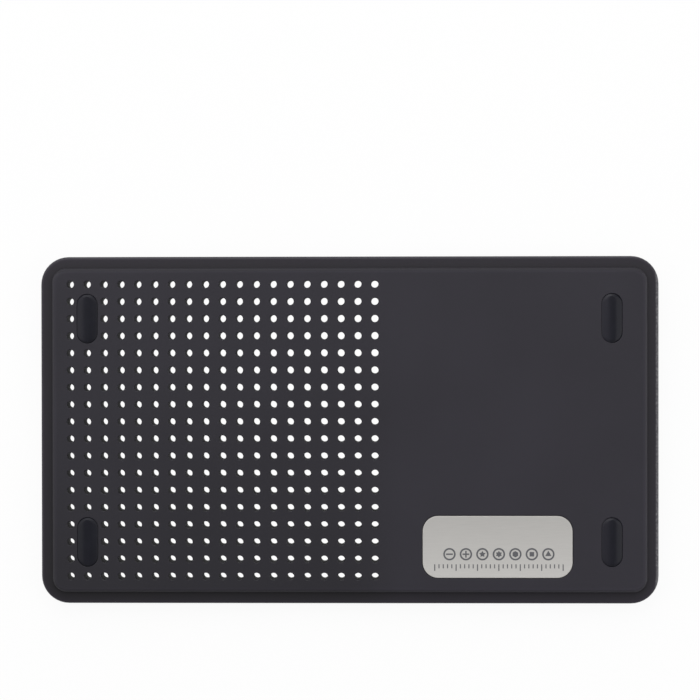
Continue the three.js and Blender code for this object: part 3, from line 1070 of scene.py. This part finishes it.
film = glue_film()
for film_name in ("nameplate_glue", "magnet_glue"):
    film_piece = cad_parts[film_name]
    film_piece.material_slots[0].link = "OBJECT"
    film_piece.material_slots[0].material = film
    print("film finish on", film_piece.name)

# %% [markdown]
# ## Floor
# The tray lies on a plain white floor that sweeps up far away on every side, as the paper in a studio does,
# so that a low view has no horizon. A real white floor under studio light comes out pale grey, so for the
# camera, and for mirrors and glass, most of its light is a glow of exactly white. The rest is an ordinary
# white surface that takes the tray's shadow. Far away the glow is complete, so that no line shows where
# the sweep starts. Under the tray it fades, so that a low view finds a dark gap there. The holes have to
# be white from above all the same, so a thin white sheet hangs close below them, where no low view reaches
# it. It is dimmed for reflections, so that the walls of the holes stay dark.

# %% Glow of a white surface
def plain_white(name):
    """A dull white surface, with its tree, its shader and its Object coordinates."""
    material, tree, shader, position = new_finish(name)
    paper = grain(tree, position, scale=9.0, detail=2.0)
    tone = two_tones(tree, paper, (0.955, 0.955, 0.955), (0.985, 0.985, 0.985))
    tree.links.new(tone, shader.inputs["Base Color"])
    shader.inputs["Roughness"].default_value = 0.9
    shader.inputs["Specular IOR Level"].default_value = 0.1
    return material, tree, shader, position


def add_glow(tree, shader, share, mirror_share=1.0):
    """Make a share of a surface glow white for the camera, and a part of that for mirrors and glass."""
    path = tree.nodes.new("ShaderNodeLightPath").outputs
    mirrored = calculate(tree, "MAXIMUM", path["Is Glossy Ray"], path["Is Transmission Ray"])
    mirrored = calculate(tree, "MULTIPLY", mirrored, mirror_share)
    seen = calculate(tree, "MAXIMUM", path["Is Camera Ray"], mirrored)
    glow = node(tree, "ShaderNodeEmission", {"Color": (1, 1, 1, 1), "Strength": 1.0})
    mixing = {0: calculate(tree, "MULTIPLY", seen, share), 1: shader.outputs[0], 2: glow.outputs[0]}
    mixed = node(tree, "ShaderNodeMixShader", mixing)
    tree.links.new(mixed.outputs[0], tree.nodes["Material Output"].inputs["Surface"])


print("glow helpers ready")

# %% Floor
FLOOR_GLOW = 0.92
SHADED_GLOW = 0.15
SHADE_START = 1.5 * MM
SHADE_FULL = 6.0 * MM
FAR_START = 0.25
FAR_FULL = 0.9
FLOOR_RADIUS = 2.5
FLOOR_SIDES = 64
# Points of the sweep: metres outwards from the flat floor, metres up
FLOOR_SWEEP = ((0.0, 0.0), (0.2, 0.02), (0.36, 0.08), (0.46, 0.18), (0.5, 0.32), (0.5, 0.75))


def white_floor():
    """White that glows a little under the tray, much more in the open and fully far away."""
    material, tree, shader, position = plain_white("white_floor")
    axes = node(tree, "ShaderNodeSeparateXYZ", {0: position}).outputs
    from_end = calculate(tree, "SUBTRACT", PLATE_LENGTH / 2, calculate(tree, "ABSOLUTE", axes["X"]))
    from_edge = calculate(tree, "SUBTRACT", PLATE_WIDTH / 2, calculate(tree, "ABSOLUTE", axes["Y"]))
    under = calculate(tree, "MINIMUM", from_end, from_edge)
    share = ranged(tree, under, SHADE_START, SHADE_FULL, FLOOR_GLOW, SHADED_GLOW, shape="SMOOTHSTEP")
    distance = node(tree, "ShaderNodeVectorMath", {0: position}, operation="LENGTH").outputs["Value"]
    far = ranged(tree, distance, FAR_START, FAR_FULL, to_high=1 - FLOOR_GLOW, shape="SMOOTHSTEP")
    add_glow(tree, shader, calculate(tree, "ADD", share, far))
    return material


def floor_outline(grow):
    return polygon_drive(FLOOR_SIDES, FLOOR_RADIUS + grow)


floor_shell = bmesh.new()
loft(floor_shell, floor_outline, [(outwards, height, 0.0) for outwards, height in FLOOR_SWEEP])
fill_level(floor_shell, 0.0)
floor = finish_mesh("floor", floor_shell, white_floor())
print("the floor's shadow keeps", round(1 - FLOOR_GLOW, 2), "of its depth")

# %% White sheet below the holes
SHEET_TOP = BOTTOM - 0.05 * MM
SHEET_BOTTOM = SHEET_TOP - 0.1 * MM
SHEET_SPARE = 1.2 * MM
SHEET_PAD_GAP = 0.3 * MM
SHEET_RADIUS = 1.0 * MM
SHEET_MIRROR_SHARE = 0.4
FIELD_LENGTH = (HOLE_COLUMNS - 1) * HOLE_PITCH_X
FIELD_WIDTH = (HOLE_ROWS - 1) * HOLE_PITCH_Y


def white_sheet():
    material, tree, shader, _ = plain_white("white_sheet")
    add_glow(tree, shader, 1.0, SHEET_MIRROR_SHARE)
    return material


def sheet_outline(grow):
    return rounded_rectangle(FIELD_LENGTH + 2 * grow, FIELD_WIDTH + 2 * grow, SHEET_RADIUS, steps=2)


def sheet_edge(grow):
    return [(grow, SHEET_BOTTOM, 0.0), (grow, SHEET_TOP, 0.0)]


sheet_shell = bmesh.new()
loft(sheet_shell, sheet_outline, sheet_edge(SHEET_SPARE), (HOLE_FIRST_X + FIELD_LENGTH / 2, 0.0))
for foot_name in ("foot_front_left", "foot_rear_left"):
    loft(sheet_shell, head_outline, sheet_edge(PAD_GROW + SHEET_PAD_GAP), foot_places[foot_name])
for level in (SHEET_BOTTOM, SHEET_TOP):
    fill_level(sheet_shell, level)
sheet = finish_mesh("white_sheet", sheet_shell, white_sheet())

# %% [markdown]
# ## Light
# A bright, even room, with three large soft panels: the strongest behind the tray, weaker ones at both
# sides. Nothing hangs right overhead, where it would mirror in the flat faces, so the plate stays dark and
# only its rounded edges that lean towards a panel catch a light line.

# %% Light
ROOM_STRENGTH = 0.4
scene = bpy.context.scene
room = bpy.data.worlds.new("room")
room.use_nodes = True
background = room.node_tree.nodes["Background"]
background.inputs["Color"].default_value = (1.0, 1.0, 1.0, 1)
background.inputs["Strength"].default_value = ROOM_STRENGTH
scene.world = room


def soft_panel(name, place, size, watts):
    """A square area light that faces the middle of the tray, which is the origin."""
    light = bpy.data.lights.new(name, "AREA")
    light.size = size
    light.energy = watts
    lamp = bpy.data.objects.new(name, light)
    lamp.location = place
    x, y, z = place
    lamp.rotation_euler = (math.atan2(math.hypot(x, y), z), 0, math.atan2(x, -y))
    scene.collection.objects.link(lamp)


soft_panel("panel_behind", (-0.1, 0.69, 0.49), size=1.0, watts=5.8)
soft_panel("panel_right", (0.75, 0.0, 0.45), size=0.75, watts=2.3)
soft_panel("panel_left", (-0.75, 0.05, 0.45), size=0.75, watts=1.6)
scene.view_settings.view_transform = "Standard"

# %% [markdown]
# ## Camera
# The photograph was taken from almost straight above, a little to the rear and right of the middle: the
# walls of the holes show on the side that leans away. The camera's place and lens were fitted to the
# corners of the tray and to the middles of the holes. The small lens shift moves the picture without
# changing the view.

# %% Camera
PICTURE_SIDE = 700
SHIFT_RIGHT_PIXELS = -10.5
SHIFT_UP_PIXELS = -6.5
CAMERA_PLACE = (9.9 * MM, 23.39 * MM, 435.93 * MM)
CAMERA_TURN = (-0.4083, 0.9585, -0.0788)
SENSOR_WIDTH = 36.0
FOCAL_LENGTH = 94.55
NEAREST = 0.01
lens = bpy.data.cameras.new("camera")
lens.sensor_width = SENSOR_WIDTH
lens.lens = FOCAL_LENGTH
lens.shift_x = SHIFT_RIGHT_PIXELS / PICTURE_SIDE
lens.shift_y = SHIFT_UP_PIXELS / PICTURE_SIDE
lens.clip_start = NEAREST
camera = bpy.data.objects.new("camera", lens)
camera.location = CAMERA_PLACE
camera.rotation_euler = [math.radians(degrees) for degrees in CAMERA_TURN]
scene.collection.objects.link(camera)
scene.camera = camera
print("camera", round(lens.lens, 2), "mm lens,", round(camera.location.z, 3), "m up")
